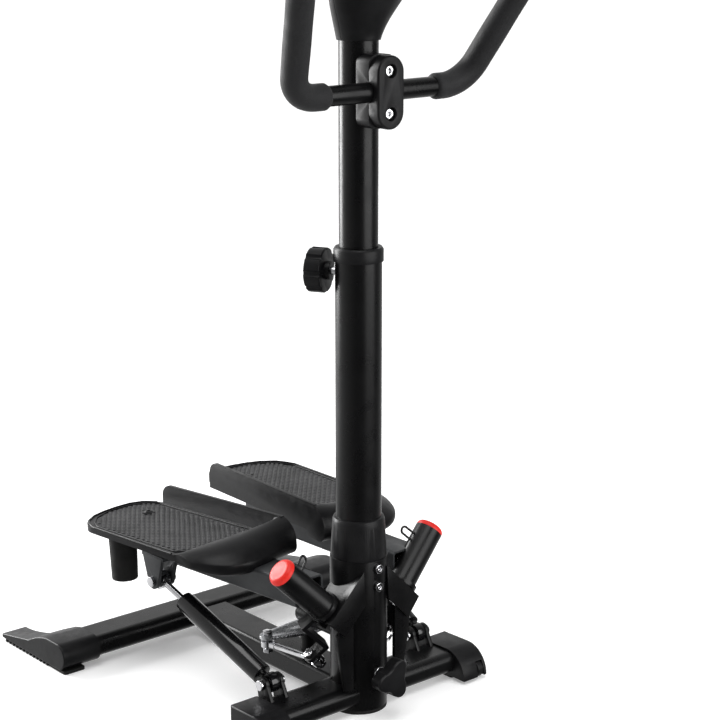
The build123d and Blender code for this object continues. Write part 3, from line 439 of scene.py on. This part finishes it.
def tread(name, side):
    """Rows of lozenges inside the outline, left out around the screw."""
    bm = bmesh.new()
    for row in range(int(TREAD_LENGTH / LOZENGE[1])):
        y = row * LOZENGE[1]
        for column in range(int(TREAD_WIDTH / LOZENGE[0] / 2)):
            x = (2 * column + row % 2) * LOZENGE[0]
            near_screw = (x - TREAD_SCREW[0]) ** 2 + (y - TREAD_SCREW[1]) ** 2 < SCREW_CLEARANCE**2
            if inside((x, y), TREAD_OUTLINE, BORDER_MARGIN) and not near_screw:
                add_lozenge(bm, x, y)
    bmesh.ops.transform(bm, matrix=pedal_frame(name, side) @ Matrix.Scale(MM, 4), verts=bm.verts)
    # The diamonds take the lighter copy of the pedal plastic, a painted highlight on their tops.
    return finished(new_piece(f"tread_{name}", bm), f"pedal_{name}", "pedal_plastic", TREAD_PAINTED_HIGHLIGHT, 20)


def bead(label, name, side, outline, height, radius, closed):
    """A thin round bead along an outline at a height over the tread, in millimetres."""
    place = pedal_frame(name, side) @ Matrix.Scale(MM, 4)
    points = [place @ Vector((x, y, height)) for x, y in outline]
    points = resampled(points + points[:1], BEAD_SPACING)[:-1] if closed else resampled(points, BEAD_SPACING)
    piece = sweep(f"{label}_{name}", points, [radius * MM] * len(points), BEAD_SIDES, closed)
    return finished(piece, f"pedal_{name}", "pedal_plastic", None, 60)


RIM_OUTLINE = (
    [(148.6, 50), (142.0, 228), (135, 245), (127.2, 257), (108, 270)]
    + [(86, 276.8), (60, 280), (37, 279.8), (18, 272), (6, 254)]
)
SCREW_PROFILE = (
    ((9.5, 0.1), (9.5, 0.9), (8.4, 1.4), (6.0, 1.4))
    + ((5.6, 2.2), (3.6, 2.9), (2.6, 3.0), (2.4, 1.6))
)
SCREW_SIDES = 24


def tread_screw(name, side):
    """A round screw head, turned from a profile of radius and height."""
    bm = bmesh.new()
    centre = Vector((*TREAD_SCREW, 0))
    across, along = Vector((1, 0, 0)), Vector((0, 1, 0))
    rings = [ring(bm, centre + Vector((0, 0, h)), across, along, r, SCREW_SIDES) for r, h in SCREW_PROFILE]
    skin(bm, rings)
    bm.faces.new(rings[-1])
    bm.faces.new(rings[0])
    bmesh.ops.transform(bm, matrix=pedal_frame(name, side) @ Matrix.Scale(MM, 4), verts=bm.verts)
    finished(new_piece(f"tread_screw_{name}", bm), f"pedal_{name}", "pedal_plastic", None, 30)


for name, side in SIDES:
    tread(name, side)
    bead("tread_border", name, side, TREAD_OUTLINE, height=0.4, radius=1.0, closed=True)
    bead("pedal_rim", name, side, RIM_OUTLINE, height=0.2, radius=1.5, closed=False)
for name, side in SIDES:
    tread_screw(name, side)


# Handlebar grips: foam sleeves with soft ends and a slight squeeze -----------------------------

HANDLE_CORNER = Vector((0.137, -0.041, 0.822))
HANDLE_TOP = 1.078
ARM_SLOPE = Vector((0.31, -0.525, 1.0))
HANDLE_BEND = 0.045
GRIP_RADIUS = 0.0168
GRIP_START = 0.0862
GRIP_TOP_GAP = 0.0062
SOFT_END = 0.005
SOFT_END_SHARE = 0.16
GRIP_SPACING = 0.004
GRIP_SIDES = 32
FINE_WAVE, FINE_PITCH = 0.006, 95.0
BROAD_WAVE, BROAD_PITCH = 0.004, 41.0


def foam_grip(name, side):
    """A foam sleeve along the bar, thinner at its two ends and slightly uneven between them."""
    mirror = Vector((side, 1, 1))
    top = HANDLE_CORNER + ARM_SLOPE * (HANDLE_TOP - HANDLE_CORNER.z) - ARM_SLOPE.normalized() * GRIP_TOP_GAP
    start = Vector((GRIP_START, HANDLE_CORNER.y, HANDLE_CORNER.z))
    path = resampled(filleted([start, HANDLE_CORNER, top], HANDLE_BEND), GRIP_SPACING)
    path = [p * mirror for p in path]
    along = [0.0]
    for a, b in zip(path, path[1:]):
        along.append(along[-1] + (b - a).length)
    radii = []
    for s in along:
        end = min(s, along[-1] - s)
        soft_end = 1 - SOFT_END_SHARE * max(0.0, 1 - end / SOFT_END) ** 2
        wave = 1 - FINE_WAVE * (1 + sin(s * FINE_PITCH)) - BROAD_WAVE * (1 + sin(s * BROAD_PITCH + side))
        radii.append(GRIP_RADIUS * soft_end * wave)
    piece = finished(sweep(f"foam_grip_{name}", path, radii, GRIP_SIDES), "upper", "grip_foam", None, 60)
    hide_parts(f"grip_{name}")


for name, side in SIDES:
    foam_grip(name, side)


# Rear feet: teeth along the underside of the wedge ---------------------------------------------

TEETH = 13
TOOTH = (0.018, 0.0048, 0.0050)
TOOTH_PITCH = 0.0092
FIRST_TOOTH = (0.2455, 0.378, 0.0028)
TOOTH_ROUNDING = 0.0005


def foot_teeth(name, side):
    """A row of small blocks under one rear foot."""
    bm = bmesh.new()
    for i in range(TEETH):
        place = Matrix.Translation((side * FIRST_TOOTH[0], FIRST_TOOTH[1] + TOOTH_PITCH * i, FIRST_TOOTH[2]))
        bmesh.ops.create_cube(bm, size=1, matrix=place @ Matrix.Diagonal((*TOOTH, 1)))
    piece = bevel(new_piece(f"foot_teeth_{name}", bm), TOOTH_ROUNDING, segments=2)
    finished(piece, BODY_OF[f"rear_foot_{name}"], "moulded_plastic")


for name, side in SIDES:
    foot_teeth(name, side)


# Stage, lights and camera ------------------------------------------------------------------------

FLOOR_REACH = 14
FLOOR_GLOW = 0.22
FADE_FRONT, FADE_BACK = -0.6, 0.9
SUN_TILT = (12, -8)
LIGHT_TARGET = Vector((0, 0, 0.4))
CAMERA_LENS = 94.2
CAMERA_SENSOR = 36
VIEW_DEPTH = 60
CAMERA_PLACE = (-1.5156, -1.7776, 1.080)
CAMERA_AIM = Vector((0.6287, 0.7362, -0.2504))


def stage_floor():
    """A pale floor that glows a little and doesn't show in the black paint."""
    bm = bmesh.new()
    bmesh.ops.create_grid(bm, x_segments=2, y_segments=2, size=FLOOR_REACH)
    floor = new_piece("floor", bm)
    finish = Finish("floor_finish")
    finish.colour(finish.noise(3, 2), (0.86, 0.86, 0.86), (0.89, 0.89, 0.89))
    finish.roughness(finish.noise(20, 2), 0.55, 0.65)
    finish.shader.inputs["Emission Color"].default_value = (1, 1, 1, 1)
    finish.shader.inputs["Emission Strength"].default_value = FLOOR_GLOW
    floor.data.materials.append(finish.material)
    floor.visible_glossy = False


def studio_world(front, back):
    """A plain surround, dim towards the front and bright behind."""
    world = bpy.data.worlds.new("studio")
    world.use_nodes = True
    nodes, links = world.node_tree.nodes, world.node_tree.links
    split = nodes.new("ShaderNodeSeparateXYZ")
    fade = nodes.new("ShaderNodeMapRange")
    fade.inputs["From Min"].default_value = FADE_FRONT
    fade.inputs["From Max"].default_value = FADE_BACK
    fade.inputs["To Min"].default_value = front
    fade.inputs["To Max"].default_value = back
    links.new(nodes.new("ShaderNodeTexCoord").outputs["Generated"], split.inputs["Vector"])
    links.new(split.outputs["Y"], fade.inputs["Value"])
    links.new(fade.outputs["Result"], nodes["Background"].inputs["Strength"])
    nodes["Background"].inputs["Color"].default_value = (1, 1, 1, 1)
    bpy.context.scene.world = world


def overhead_sun(strength, spread):
    data = bpy.data.lights.new("overhead", "SUN")
    data.energy = strength
    data.angle = radians(spread)
    sun = bpy.data.objects.new("overhead", data)
    sun.rotation_euler = (radians(SUN_TILT[0]), radians(SUN_TILT[1]), 0)
    bpy.context.scene.collection.objects.link(sun)


def area_light(name, place, width, height, power):
    data = bpy.data.lights.new(name, "AREA")
    data.shape = "RECTANGLE"
    data.size = width
    data.size_y = height
    data.energy = power
    light = bpy.data.objects.new(name, data)
    light.location = place
    light.rotation_euler = (LIGHT_TARGET - Vector(place)).to_track_quat("-Z", "Y").to_euler()
    bpy.context.scene.collection.objects.link(light)


def photo_camera():
    data = bpy.data.cameras.new("camera")
    data.lens = CAMERA_LENS
    data.sensor_width = CAMERA_SENSOR
    data.clip_end = VIEW_DEPTH
    camera = bpy.data.objects.new("camera", data)
    camera.location = CAMERA_PLACE
    camera.rotation_euler = CAMERA_AIM.to_track_quat("-Z", "Y").to_euler()
    bpy.context.scene.collection.objects.link(camera)
    bpy.context.scene.camera = camera


stage_floor()
studio_world(front=0.03, back=1.0)
overhead_sun(strength=1.9, spread=50)
area_light("key", (0.84, -2.67, 1.05), width=2.6, height=2.4, power=80)
area_light("left_panel", (-0.97, 2.73, 1.05), width=1.2, height=2.2, power=150)
photo_camera()
bpy.context.scene.view_settings.view_transform = "Standard"
